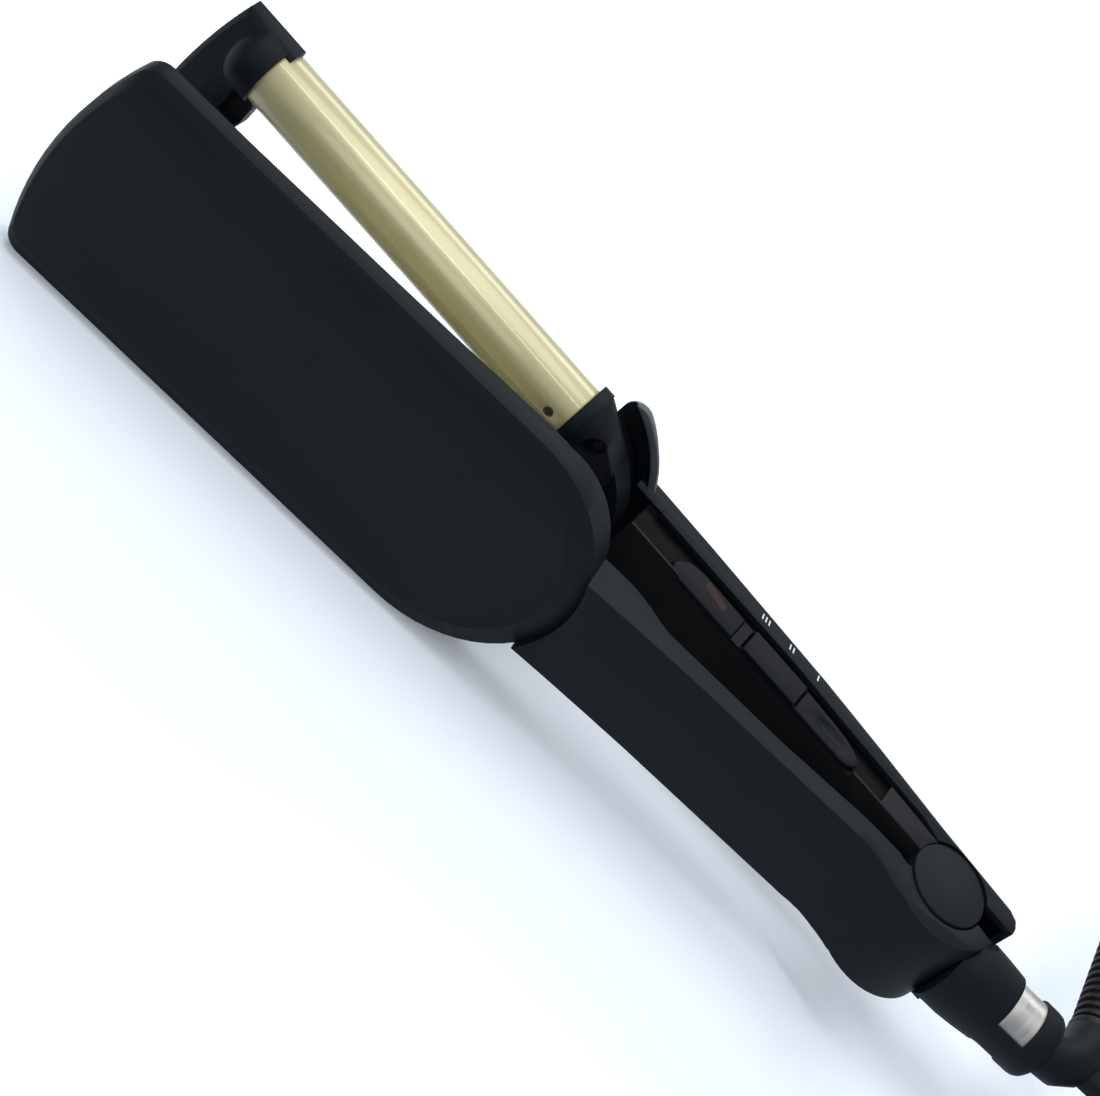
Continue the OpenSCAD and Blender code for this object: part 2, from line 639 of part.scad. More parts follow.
module front_handle_cover() color("#151618") front_arm() slab(2 * shell_inner - 0.2) difference() {
    polygon([[cover_start, 4.5], [22, 2.8], [84, 2.8], [92, 1.9], [cover_reach, 1.6], [cover_reach, 8.4],
        [50, 7.2], [cover_start, 7.6]]);
    translate([24, 4.4]) square([cover_reach - 29, 1.8]);
}

plate_start = barrel_start + 6.5;
plate_side = head_w / 2 - wall - 0.2;
lip_t = 1;
lip_low = 5.6;

// Cross-section of the wave plate's upper skin, drawn in (w, z)
module wave_solid(t) difference() {
    union() {
        translate([ridge_centre_h, 0]) circle(ridge_r - t, $fn = 96);
        translate([slab_top(t), t - plate_side]) square([30, 2 * (plate_side - t)]);
    }
    for (s = [-1, 1]) translate([barrel_drop, s * barrel_z]) circle(channel_r + t);
}
// Height at which the ridge and a channel touch
function slab_top(t) = barrel_drop + (ridge_centre_h - barrel_drop) * (channel_r + t) / ridge_reach;
plate_bottom = barrel_drop + channel_r + plate_t;

// A cross-section drawn in (w, z), run along the arm
module run_u(from, length) translate([from, 0, 0]) rotate([90, 0, 90]) linear_extrude(length) children();

module wave_plate() color("#d6caa0") front_arm() run_u(plate_start, plate_len) difference() {
    union() {
        wave_solid(0);
        // Straight lip along each side, inside the rim
        for (s = [0, 1]) mirror([0, s]) translate([lip_low, plate_side - lip_t]) square([2.4, lip_t]);
    }
    wave_solid(plate_t);
    translate([plate_bottom, -50]) square([60, 100]);
}

block_half = 12.6;

module plate_end_blocks() color("#16171a") front_arm() difference() {
    union() {
        translate([end_block_u, end_block_low, -block_half])
            cube([plate_start - 0.3 - end_block_u, floor_h - end_block_low, 2 * block_half]);
        translate([plate_start + plate_len + 0.3, rim_h, -block_half]) cube([16, floor_h - rim_h, 2 * block_half]);
    }
    plate_screw_places() {
        cylinder(r = 1.3, h = 40);
        translate([0, 0, -20]) cylinder(r = 2.6, h = 22.2);
    }
}
floor_h = head_face_h - wall;
end_block_u = head_end_reach - 24;
end_block_low = 5.2;

module plate_screw_places() for (u = [end_block_u + 9, plate_start + plate_len + 9.5], z = [-8, 8])
    translate([u, end_block_low, z]) rotate([-90, 0, 0]) children();

module plate_screws() color("#77797d") front_arm() plate_screw_places()
    translate([0, 0, 2.2]) phillips_screw(2.4, 1.3, 3.6);

spreader_gap = 0.1;

module heat_spreader() color("#b9bcc0") front_arm() run_u(plate_start + 2, plate_len - 4) intersection() {
    translate([ridge_centre_h, 0]) circle(ridge_r - plate_t - spreader_gap, $fn = 96);
    translate([-20, -9]) square([20 + 2.5, 18]);
}

heater_half = 7;

module plate_heater() color("#e9e6df") front_arm()
    translate([plate_start + 6, 2.5, -heater_half]) cube([plate_len - 12, 2.6, 2 * heater_half]);

module heater_clamp() color("#a9acb0") front_arm() {
    for (i = [0:2]) translate([plate_start + 12 + i * (plate_len - 34) / 2, 5.1, -heater_half])
        difference() {
            cube([10, 5, 2 * heater_half]);
            translate([-1, 0.8, 1]) cube([12, 3.4, 2 * heater_half - 2]);
        }
}

module heat_shield() color("#cfc7ae") front_arm()
    translate([plate_start + 2, 10.1, -13]) cube([plate_len - 4, 0.6, 26]);

// ---------------------------------------------------------------- cord

cord_r = cord_d / 2;
lay_z = 3.9;
bend_r = 28;
lead_straight = 9;
lead_run = 64;
coil_mid_r = 36;
coil_layers = 4;
coil_turns = 6.92;
layer_turns = coil_turns / coil_layers;
coil_pitch = 6.7;
coil_out_r = coil_mid_r + coil_pitch * layer_turns / 2;
coil_top_z = lay_z + (coil_layers - 1) * coil_pitch;
// The lead meets the coil at this angle, and the tail leaves it at the other one
coil_in = 60;
coil_out = coil_in - 360 * coil_turns;
tail_run = 35;
tail_bend_r = 26;
tail_straight = 8;
plug_z = 7.4;

function ease(x) = let (t = max(0, min(1, x))) t * t * (3 - 2 * t);
function polar(r, a) = r * [cos(a), sin(a)];

// Route from the strain relief to the coil: x, y from the hinge and height above the table
relief_end = boot_turn + polar(relief_len + relief_gap, 90 + relief_lean);
bend_at = relief_end + polar(lead_straight, 90 + relief_lean) + polar(bend_r, relief_lean);
bend_turn = 180 + relief_lean - coil_in;
coil_start = bend_at + polar(bend_r, coil_in) + polar(lead_run, coil_in - 90);
coil_at = coil_start - polar(coil_out_r, coil_in);
bend_len = bend_r * bend_turn * PI / 180;
lead_len = lead_straight + bend_len + lead_run;

function lead_xy(s) = s < lead_straight ? relief_end + polar(s, 90 + relief_lean) :
    s < lead_straight + bend_len ?
        bend_at + polar(bend_r, 180 + relief_lean - (s - lead_straight) / bend_r * 180 / PI) :
        coil_start - polar(lead_len - s, coil_in - 90);
function lead_point(s) = let (p = lead_xy(s)) [p.x, p.y, mid_z - (mid_z - lay_z) * ease((s - 6) / 100)];
lead_route = [for (i = [0:24]) lead_point(lead_len * i / 24)];

// Route from the coil to the plug
tail_from = coil_at + polar(coil_out_r, coil_out);
tail_bend_len = tail_bend_r * PI / 2;
tail_len = tail_run + tail_bend_len + tail_straight;
plug_at = tail_from + [tail_run + tail_bend_r, -tail_bend_r - tail_straight];
function tail_xy(s) = s < tail_run ? tail_from + [s, 0] :
    s < tail_run + tail_bend_len ?
        tail_from + [tail_run, -tail_bend_r] + polar(tail_bend_r, 90 - (s - tail_run) / tail_bend_r * 180 / PI) :
        plug_at + [0, tail_len - s];
function tail_point(s) = let (p = tail_xy(s)) [p.x, p.y, coil_top_z - (coil_top_z - plug_z) * ease((s - 8) / 72)];
tail_route = [for (i = [0:16]) tail_point(tail_len * i / 16)];

// Direction of a route at point i
function heading(p, i) = let (n = len(p) - 1, d = p[min(i + 1, n)] - p[max(i - 1, 0)]) d / norm(d);
function ring_at(p, dir, r, n) = let (s = cross(dir, [0, 0, 1]) / norm(cross(dir, [0, 0, 1])), t = cross(s, dir))
    [for (i = [0:n - 1]) p + r * (cos(360 * i / n) * s + sin(360 * i / n) * t)];
// The first and the last ring are turned to given angles, so that the next length meets them face to face
module tube(route, r, n, from, to) loft([for (i = [0:len(route) - 1])
    ring_at(route[i], i == 0 ? [cos(from), sin(from), 0] : i == len(route) - 1 ? [cos(to), sin(to), 0] :
        heading(route, i), r, n)]);

// Coil: it spirals in and out again, and climbs a layer in the half turn where it reverses
function coil_radius(s) = let (m = s / layer_turns, k = floor(m), f = m - k)
    coil_out_r - coil_pitch * layer_turns * (k % 2 == 0 ? f : 1 - f);
function total(list) = list * [for (i = list) 1];
function coil_height(s) = lay_z + coil_pitch *
    total([for (k = [1:coil_layers - 1]) ease((s - k * layer_turns) * 2 + 0.5)]);
function coil_point(s) = let (a = coil_in - 360 * s)
    [coil_at.x + coil_radius(s) * cos(a), coil_at.y + coil_radius(s) * sin(a), coil_height(s)];
coil_steps = round(24 * coil_turns);
coil_route = [for (i = [0:coil_steps]) coil_point(coil_turns * i / coil_steps)];

function path_length(p) = total([for (i = [1:len(p) - 1]) norm(p[i] - p[i - 1])]);
function self_gap(p, skip) = min([for (i = [0:2:len(p) - 1 - skip]) min([for (j = [i + skip:len(p) - 1])
    norm(p[i] - p[j])])]) - cord_d;
echo(coil_gap = self_gap(coil_route, 12), lead = path_length(lead_route), coil = path_length(coil_route),
    tail = path_length(tail_route));

module from_table() translate([hinge_x, hinge_y, 0]) children();

module cord_lead() color("#1a1a1b") from_table() tube(lead_route, cord_r, 8, 90 + relief_lean, coil_in - 90);
module cord_coil() color("#1a1a1b") from_table() tube(coil_route, cord_r, 6, coil_in - 90, coil_out - 90);
module cord_tail() color("#1a1a1b") from_table() tube(tail_route, cord_r, 8, coil_out - 90, -90);

tie_t = 0.6;
tie_w = 10;
tie_turn = 225;

// Flat band round all the turns of the coil
module cord_tie() color("#303236") from_table() translate([coil_at.x, coil_at.y, 0]) rotate(tie_turn)
    rotate([90, 0, 0]) translate([0, 0, -tie_w / 2]) linear_extrude(tie_w) difference() {
        translate([coil_mid_r - tie_half - tie_t, 0.1]) square([2 * (tie_half + tie_t), tie_top + tie_t]);
        translate([coil_mid_r - tie_half, 0.1 + tie_t]) square([2 * tie_half, tie_top - tie_t]);
    }
tie_half = coil_pitch * layer_turns / 2 + cord_r + 0.9;
tie_top = coil_top_z + cord_r + 0.5;

plug_h = 14;
plug_w = 25;

// Flat plug with a tapered grip; it lies on its wide side
module plug_body() color("#1b1b1d") from_table() translate([plug_at.x, plug_at.y, plug_z]) rotate([90, 0, 0]) difference() {
    union() {
        rotate_extrude($fn = 24) polygon(concat([[0, 0], [cord_r + 0.6, 0]],
            [for (i = [0:4], s = [0:3]) [cord_r + 0.7 + 0.22 * i + [0, 0, 0.8, 0.8][s], 2 + 3.4 * i + [0, 1.5, 1.7, 3.2][s]]],
            [[cord_r + 2.2, 20], [0, 20]]));
        hull() {
            translate([0, 0, 18.5]) cylinder(r = 5.4, h = 2, $fn = 32);
            translate([0, 0, 28]) plug_slice(plug_w - 5, plug_h - 1.4, 3);
            translate([0, 0, 46]) plug_slice(plug_w - 1, plug_h - 0.6, 5);
            translate([0, 0, 53.4]) plug_slice(plug_w - 2, plug_h - 1.2, 1.6);
        }
    }
    for (s = [-1, 1]) translate([s * pin_half, 0, 50]) cylinder(r = 2, h = 10);
}
pin_half = 9.3;
module plug_slice(w, h, t) linear_extrude(t) hull() for (x = [-1, 1], y = [-1, 1])
    translate([x * (w / 2 - 4), y * (h / 2 - 4)]) circle(4, $fn = 24);

module plug_pins() color("#c4c6c9") from_table() translate([plug_at.x, plug_at.y, plug_z]) rotate([90, 0, 0])
    for (s = [-1, 1]) translate([s * pin_half, 0, 50.2]) {
        cylinder(r = 1.95, h = 22);
        translate([0, 0, 22]) intersection() {
            sphere(1.95);
            cylinder(r = 3, h = 3);
        }
    }

rear_outer_shell();
rear_inner_cover();
switch_panel();
indicator_lens();
slide_knob();
slide_switch();
circuit_board();
barrel_base();
barrel_collars();
upper_barrel();
lower_barrel();
barrel_heaters();
tip_cap();
barrel_screws();
base_screws();
hinge_pin();
hinge_caps();
opening_spring();
neck_sleeve();
swivel_ring();
front_head_shell();
front_handle_shell();
front_handle_cover();
wave_plate();
plate_end_blocks();
plate_screws();
heat_spreader();
plate_heater();
heater_clamp();
heat_shield();
swivel_boot();
strain_relief();
cord_lead();
cord_coil();
cord_tail();
cord_tie();
plug_body();
plug_pins();
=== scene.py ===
import bpy
import bmesh
import json
import math
from mathutils import Matrix, Vector


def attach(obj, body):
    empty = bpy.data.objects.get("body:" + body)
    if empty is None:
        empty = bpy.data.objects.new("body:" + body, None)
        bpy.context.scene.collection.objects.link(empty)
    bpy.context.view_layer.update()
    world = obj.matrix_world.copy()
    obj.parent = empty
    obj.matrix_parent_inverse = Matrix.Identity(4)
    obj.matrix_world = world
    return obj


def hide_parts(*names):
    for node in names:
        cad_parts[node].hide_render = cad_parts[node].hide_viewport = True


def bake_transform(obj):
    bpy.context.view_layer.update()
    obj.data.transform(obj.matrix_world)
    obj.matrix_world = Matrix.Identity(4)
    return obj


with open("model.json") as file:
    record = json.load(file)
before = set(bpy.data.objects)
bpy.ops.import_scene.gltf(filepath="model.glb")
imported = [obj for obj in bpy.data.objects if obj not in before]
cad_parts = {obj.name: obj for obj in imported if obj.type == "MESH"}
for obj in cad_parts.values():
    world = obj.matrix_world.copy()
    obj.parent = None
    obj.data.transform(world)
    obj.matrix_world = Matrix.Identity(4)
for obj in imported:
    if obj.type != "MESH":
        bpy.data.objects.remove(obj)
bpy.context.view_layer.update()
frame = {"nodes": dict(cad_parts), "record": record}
nodes = frame["nodes"]

# Sizes and places are in millimetres, and MM turns them into the frame's metres.
MM = 0.001
HINGE = Vector((0.090801, 0.0126606, 0.032))
OPEN_ANGLE = math.radians(7.055)


def at_hinge(x, y, z=0.0):
    """A point given from the hinge's centre."""
    return HINGE + Vector((x, y, z)) * MM


def on_arm(u, w, z=0.0):
    """A point of the barrel arm: along the arm, across it, and up from its middle plane."""
    return at_hinge(-u, w, z)


def in_plate_arm(place):
    """A place in the plate arm's own directions: along it, across it and up."""
    turned = Matrix.Rotation(-math.pi - OPEN_ANGLE, 3, "Z") @ (place - HINGE)
    return turned / MM


def above_table(x, y, z):
    """A point given from the hinge's axis and up from the table."""
    return Vector((HINGE.x + x * MM, HINGE.y + y * MM, z * MM))


# ------------------------------------------------------------------ camera, light and table

CAMERA_AT = (-0.04641303, -0.49183742, 0.44764832)
CAMERA_RIGHT = Vector((0.66324991, 0.46326865, 0.58777693))
CAMERA_UP = Vector((-0.74757269, 0.44698177, 0.49126609))
SENSOR_WIDTH = 36
FOCAL_LENGTH = 96.112

HEAD_MIDDLE = (-0.08, 0, 0.03)
SKY_TINT = (0.84, 0.92, 1, 1)
SKY_LEVEL = 0.34
TABLE_TINT = (0.84, 0.91, 1, 1)
TABLE_GLOW = 0.11
TABLE_HALF = 3
TABLE_DROP = 0.2
WHITE = (1, 1, 1, 1)


def place_camera():
    lens = bpy.data.cameras.new("camera")
    lens.sensor_width = SENSOR_WIDTH
    lens.lens = FOCAL_LENGTH
    lens.clip_start, lens.clip_end = 0.02, 20
    camera = bpy.data.objects.new("camera", lens)
    bpy.context.collection.objects.link(camera)
    turn = Matrix((CAMERA_RIGHT, CAMERA_UP, CAMERA_RIGHT.cross(CAMERA_UP))).transposed()
    camera.matrix_world = Matrix.Translation(CAMERA_AT) @ turn.to_4x4()
    bpy.context.scene.camera = camera


def soft_box(name, place, aim, size, watts):
    """A rectangular lamp, in metres, turned towards a point."""
    lamp = bpy.data.lights.new(name, "AREA")
    lamp.shape = "RECTANGLE"
    lamp.size, lamp.size_y = size
    lamp.energy = watts
    holder = bpy.data.objects.new(name, lamp)
    bpy.context.collection.objects.link(holder)
    place, aim = Vector(place), Vector(aim)
    turn = (aim - place).to_track_quat("-Z", "Y").to_matrix().to_4x4()
    holder.matrix_world = Matrix.Translation(place) @ turn


def shell_of_light():
    """A dim blue sky that lights the tool, with a white background behind it."""
    world = bpy.data.worlds.new("studio")
    world.use_nodes = True
    bpy.context.scene.world = world
    tree = world.node_tree
    tree.nodes.clear()
    out = tree.nodes.new("ShaderNodeOutputWorld")
    seen = tree.nodes.new("ShaderNodeBackground")
    seen.inputs["Color"].default_value = WHITE
    seen.inputs["Strength"].default_value = 1
    lit = tree.nodes.new("ShaderNodeBackground")
    lit.inputs["Color"].default_value = SKY_TINT
    lit.inputs["Strength"].default_value = SKY_LEVEL
    ray = tree.nodes.new("ShaderNodeLightPath")
    mix = tree.nodes.new("ShaderNodeMixShader")
    tree.links.new(ray.outputs["Is Camera Ray"], mix.inputs["Fac"])
    tree.links.new(lit.outputs[0], mix.inputs[1])
    tree.links.new(seen.outputs[0], mix.inputs[2])
    tree.links.new(mix.outputs[0], out.inputs["Surface"])


def table_white():
    """A matt white that glows a little to the camera, so that it meets the background."""
    surface = bpy.data.materials.new("table_white")
    surface.use_nodes = True
    tree = surface.node_tree
    tree.nodes.clear()
    out = tree.nodes.new("ShaderNodeOutputMaterial")
    matt = tree.nodes.new("ShaderNodeBsdfDiffuse")
    matt.inputs["Color"].default_value = TABLE_TINT
    glow = tree.nodes.new("ShaderNodeEmission")
    glow.inputs["Color"].default_value = WHITE
    glow.inputs["Strength"].default_value = TABLE_GLOW
    both = tree.nodes.new("ShaderNodeAddShader")
    ray = tree.nodes.new("ShaderNodeLightPath")
    mix = tree.nodes.new("ShaderNodeMixShader")
    tree.links.new(matt.outputs[0], both.inputs[0])
    tree.links.new(glow.outputs[0], both.inputs[1])
    tree.links.new(ray.outputs["Is Camera Ray"], mix.inputs["Fac"])
    tree.links.new(matt.outputs[0], mix.inputs[1])
    tree.links.new(both.outputs[0], mix.inputs[2])
    tree.links.new(mix.outputs[0], out.inputs["Surface"])
    return surface


def table_top():
    mesh = bpy.data.meshes.new("table_top")
    bm = bmesh.new()
    bmesh.ops.create_grid(bm, x_segments=1, y_segments=1, size=TABLE_HALF)
    bm.to_mesh(mesh)
    bm.free()
    mesh.materials.append(table_white())
    table = bpy.data.objects.new("table_top", mesh)
    bpy.context.collection.objects.link(table)
    table.location.z = -TABLE_DROP * MM


place_camera()
shell_of_light()
table_top()
soft_box("overhead", (-0.15, 0.10, 1.1), HEAD_MIDDLE, (1.0, 0.8), 7.4)
soft_box("strip", (-0.15, -0.25, 1.08), HEAD_MIDDLE, (1.2, 0.07), 2.4)
soft_box("behind", (-0.10, 1.0, 0.75), (-0.10, 0, 0.03), (1.2, 0.4), 6)
soft_box("front", (-0.2, -1.1, 0.9), HEAD_MIDDLE, (0.9, 0.6), 3.5)
bpy.context.scene.view_settings.view_transform = "Standard"


# ------------------------------------------------------------------ finishes

# The stretch of a noise pattern's values that a roughness or a colour is spread over
ROUGHNESS_BAND = (0.3, 0.7)
COLOUR_BAND = (0.35, 0.65)

# The patterns' spots and lines to a metre
CLOUDS = 28
COAT_CLOUDS = 60
COAT_FLAKES = 5200
SURFACE_LINES = 700

# How far a moulding's and a coat's roughness strays
MOULDED_STRAY = 0.04
COATED_STRAY = 0.03


def new_finish(name):
    surface = bpy.data.materials.new(name)
    surface.use_nodes = True
    tree = surface.node_tree
    return surface, tree, tree.nodes["Principled BSDF"]


def speckle(tree, scale, detail, roughness=0.55, stretch=(1, 1, 1)):
    """A grey noise pattern that stays with the piece."""
    place = tree.nodes.new("ShaderNodeTexCoord")
    turn = tree.nodes.new("ShaderNodeMapping")
    turn.inputs["Scale"].default_value = stretch
    pattern = tree.nodes.new("ShaderNodeTexNoise")
    pattern.inputs["Scale"].default_value = scale
    pattern.inputs["Detail"].default_value = detail
    pattern.inputs["Roughness"].default_value = roughness
    tree.links.new(place.outputs["Object"], turn.inputs["Vector"])
    tree.links.new(turn.outputs["Vector"], pattern.inputs["Vector"])
    return pattern.outputs["Fac"]


def spread_over(tree, source, least, most):
    """Turns a grey pattern into a range of values."""
    node = tree.nodes.new("ShaderNodeMapRange")
    for key, value in zip(("From Min", "From Max", "To Min", "To Max"), (*ROUGHNESS_BAND, least, most)):
        node.inputs[key].default_value = value
    tree.links.new(source, node.inputs["Value"])
    return node.outputs["Result"]


def tint(tree, source, dark, light):
    """Turns a grey pattern into a run between two colours."""
    node = tree.nodes.new("ShaderNodeValToRGB")
    for stop, position, colour in zip(node.color_ramp.elements, COLOUR_BAND, (dark, light)):
        stop.position = position
        stop.color = (*colour, 1)
    tree.links.new(source, node.inputs["Fac"])
    return node.outputs["Color"]


def bump(tree, source, height, strength=1.0):
    node = tree.nodes.new("ShaderNodeBump")
    node.inputs["Distance"].default_value = height * MM
    node.inputs["Strength"].default_value = strength
    tree.links.new(source, node.inputs["Height"])
    return node.outputs["Normal"]


def moulded(name, dark, light, rough, grain=0.3, depth=0.02, shine=0.5):
    """Moulded plastic or rubber with a fine spark-eroded grain and faint cloudiness from handling."""
    surface, tree, shader = new_finish(name)
    shader.inputs["Specular IOR Level"].default_value = shine
    fine_grain = speckle(tree, 1 / (grain * MM), 2)
    cloud = speckle(tree, CLOUDS, 4)
    tree.links.new(tint(tree, cloud, dark, light), shader.inputs["Base Color"])
    least, most = rough - MOULDED_STRAY, rough + MOULDED_STRAY
    tree.links.new(spread_over(tree, cloud, least, most), shader.inputs["Roughness"])
    tree.links.new(bump(tree, fine_grain, depth), shader.inputs["Normal"])
    return surface


def coated(name, dark, light, rough):
    """Metal under a satin champagne coat with a faint flake in it."""
    surface, tree, shader = new_finish(name)
    shader.inputs["Metallic"].default_value = 0.4
    shader.inputs["Coat Weight"].default_value = 0.8
    shader.inputs["Coat Roughness"].default_value = 0.1
    flake = speckle(tree, COAT_FLAKES, 1)
    cloud = speckle(tree, COAT_CLOUDS, 3)
    tree.links.new(tint(tree, cloud, dark, light), shader.inputs["Base Color"])
    least, most = rough - COATED_STRAY, rough + COATED_STRAY
    tree.links.new(spread_over(tree, flake, least, most), shader.inputs["Roughness"])
    tree.links.new(bump(tree, flake, 0.002, 0.4), shader.inputs["Normal"])
    return surface


def bright(name, colour, rough, stretch=(1, 1, 1), lines=SURFACE_LINES):
    """Bare or plated metal with fine lines, drawn out by the stretch."""
    surface, tree, shader = new_finish(name)
    shader.inputs["Metallic"].default_value = 1
    scratches = speckle(tree, lines, 4, 0.6, stretch)
    darker = [part * 0.88 for part in colour]
    tree.links.new(tint(tree, scratches, darker, colour), shader.inputs["Base Color"])
    tree.links.new(spread_over(tree, scratches, rough * 0.8, rough * 1.25), shader.inputs["Roughness"])
    tree.links.new(bump(tree, scratches, 0.01, 0.5), shader.inputs["Normal"])
    return surface


shell_black = moulded("shell_black", (0.0066, 0.0086, 0.0110), (0.0078, 0.0100, 0.0128), 0.5, shine=0.085)
cover_black = moulded("cover_black", (0.0070, 0.0080, 0.0095), (0.0084, 0.0096, 0.0114), 0.55, shine=0.12)
base_black = moulded("base_black", (0.0052, 0.0066, 0.0086), (0.0062, 0.0078, 0.0102), 0.5, shine=0.07)
# A near-black for the floor of the sunk channel round the switch: painted shade, darker than the cover it
# is cut in.
channel_painted_shade = moulded("channel_painted_shade", (0.0030, 0.0034, 0.0040), (0.0038, 0.0043, 0.0050), 0.6,
                        shine=0.05)
# A lighter grey for the black shell's outward flange faces: painted light.
flange_painted_light = moulded("flange_painted_light", (0.062, 0.070, 0.082), (0.070, 0.079, 0.093), 0.5, shine=0.3)
switch_black = moulded("switch_black", (0.0046, 0.0060, 0.0080), (0.0056, 0.0072, 0.0095), 0.5,
                       grain=0.25, depth=0.016, shine=0.07)
lens_red = moulded("lens_red", (0.026, 0.0088, 0.0098), (0.031, 0.0102, 0.0112), 0.5,
                   grain=1.2, depth=0.01, shine=0.1)
mark_white = moulded("mark_white", (0.55, 0.57, 0.60), (0.66, 0.68, 0.70), 0.6, grain=0.4, depth=0.01)
champagne = coated("champagne", (0.43, 0.398, 0.222), (0.465, 0.432, 0.244), 0.46)
steel = bright("steel", (0.56, 0.57, 0.59), 0.3)
dark_steel = bright("dark_steel", (0.11, 0.105, 0.10), 0.42)
brushed_chrome = bright("brushed_chrome", (0.55, 0.54, 0.52), 0.4, stretch=(1, 0.04, 0.04), lines=1500)
aluminium = bright("aluminium", (0.68, 0.69, 0.71), 0.35, stretch=(0.05, 1, 1))
nickel = bright("nickel", (0.72, 0.70, 0.66), 0.18)
ceramic = moulded("ceramic", (0.66, 0.64, 0.58), (0.74, 0.72, 0.67), 0.7, grain=0.4, depth=0.03)
mica = moulded("mica", (0.42, 0.34, 0.17), (0.56, 0.47, 0.27), 0.4, grain=3, depth=0.04)
board_green = moulded("board_green", (0.012, 0.06, 0.02), (0.02, 0.085, 0.03), 0.3, grain=4)
cord_black = moulded("cord_black", (0.009, 0.009, 0.0098), (0.0125, 0.0125, 0.0135), 0.42,
                     grain=0.5, shine=0.2)
relief_black = moulded("relief_black", (0.0085, 0.0085, 0.0095), (0.0115, 0.0115, 0.0125), 0.5,
                       grain=0.4, shine=0.2)
tie_grey = moulded("tie_grey", (0.03, 0.03, 0.033), (0.045, 0.045, 0.05), 0.8, grain=0.4, depth=0.1)

FINISH = {
    "shell_black": shell_black, "cover_black": cover_black, "switch_black": switch_black,
    "lens_red": lens_red, "barrel_gold": champagne, "plate_gold": champagne, "steel": steel,
    "dark_steel": dark_steel, "ring_chrome": brushed_chrome, "board_green": board_green,
    "ceramic": ceramic, "aluminium": aluminium, "mica": mica, "cord_black": cord_black,
    "relief_black": relief_black, "tie_grey": tie_grey, "plug_black": switch_black,
    "pin_nickel": nickel,
}
SLOT = {part["node"]: part["material_slot"] for part in frame["record"]["subparts"]}
for name, node in nodes.items():
    node.data.materials.clear()
    node.data.materials.append(FINISH[SLOT[name]])


# ------------------------------------------------------------------ making pieces

BODY = {name: body for body, held in frame["record"]["behaviour"]["bodies"].items() for name in held}
SHARP = math.radians(32)
FLAT = math.radians(0.3)
MERGE = 0.002

ACROSS = Matrix.Rotation(math.pi / 2, 4, "X")
ALONG = Matrix.Rotation(math.pi / 2, 4, "Y")
UPRIGHT = Matrix.Identity(4)


def add_piece(name, bm, finish, *stands_for, body=None, slot=None):
    """Makes a finished piece from a bmesh. It rides where the nodes that it stands for do."""
    mesh = bpy.data.meshes.new(name)
    bm.to_mesh(mesh)
    bm.free()
    mesh.materials.append(finish)
    for face in mesh.polygons:
        face.use_smooth = True
    mesh.set_sharp_from_angle(angle=SHARP)
    piece = bpy.data.objects.new(name, mesh)
    bpy.context.collection.objects.link(piece)
    if stands_for:
        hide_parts(*stands_for)
    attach(piece, body or BODY[stands_for[0]])
    return piece


def merged_copy(node):
    """A CAD node's shape with its loose triangles joined into faces."""
    bm = bmesh.new()
    bm.from_mesh(nodes[node].data)
    bmesh.ops.remove_doubles(bm, verts=bm.verts, dist=MERGE * MM)
    bmesh.ops.dissolve_degenerate(bm, dist=MERGE / 2 * MM, edges=bm.edges)
    bmesh.ops.dissolve_limit(bm, angle_limit=FLAT, verts=bm.verts, edges=bm.edges)
    return bm


def round_edges(bm, edges, radius, segments):
    bmesh.ops.bevel(bm, geom=edges, offset=radius * MM, offset_type="OFFSET", affect="EDGES",
                    segments=segments, profile=0.5, clamp_overlap=True, material=-1)


def soften(bm, radius, angle=38, segments=2, picked=None):
    """Rounds the edges that are sharper than the angle, or only those of them that are picked."""
    sharp = [edge for edge in bm.edges if len(edge.link_faces) == 2
             and edge.calc_face_angle(0) > math.radians(angle) and (picked is None or picked(edge))]
    if sharp:
        round_edges(bm, sharp, radius, segments)
    return bm


def softened(node, radius, picked=None, finish=None):
    """A finished piece that stands for a node, with its edges rounded."""
    bm = soften(merged_copy(node), radius, picked=picked)
    return add_piece(node + "_fine", bm, finish or FINISH[SLOT[node]], node)


def helper(name, bm):
    """A passing object that holds a bmesh."""
    mesh = bpy.data.meshes.new(name)
    bm.to_mesh(mesh)
    bm.free()
    thing = bpy.data.objects.new(name, mesh)
    bpy.context.collection.objects.link(thing)
    return thing


def cut_by(bm, *cutters):
    """Takes the space of closed cutters away from a closed mesh."""
    whole = helper("to_cut", bm)
    tools = [helper("cutter", cutter) for cutter in cutters]
    for tool in tools:
        step = whole.modifiers.new("cut", "BOOLEAN")
        step.operation, step.solver, step.object = "DIFFERENCE", "EXACT", tool
    bpy.context.view_layer.update()
    cut = bmesh.new()
    cut.from_object(whole, bpy.context.evaluated_depsgraph_get())
    for thing in [whole] + tools:
        bpy.data.objects.remove(thing)
    bmesh.ops.dissolve_limit(cut, angle_limit=FLAT, verts=cut.verts, edges=cut.edges)
    return cut


def joined(*parts):
    """Puts several bmeshes in one."""
    whole = bmesh.new()
    for part in parts:
        mesh = bpy.data.meshes.new("part")
        part.to_mesh(mesh)
        part.free()
        whole.from_mesh(mesh)
        bpy.data.meshes.remove(mesh)
    return whole


def verts_in(things):
    return [thing for thing in things if isinstance(thing, bmesh.types.BMVert)]


def drawn(bm, corners, along):
    """Draws a flat face out into a solid, and gives the corners of its far end."""
    face = bm.faces.new([bm.verts.new(corner) for corner in corners])
    far = verts_in(bmesh.ops.extrude_face_region(bm, geom=[face])["geom"])
    bmesh.ops.translate(bm, verts=far, vec=along)
    bmesh.ops.recalc_face_normals(bm, faces=bm.faces)
    return far


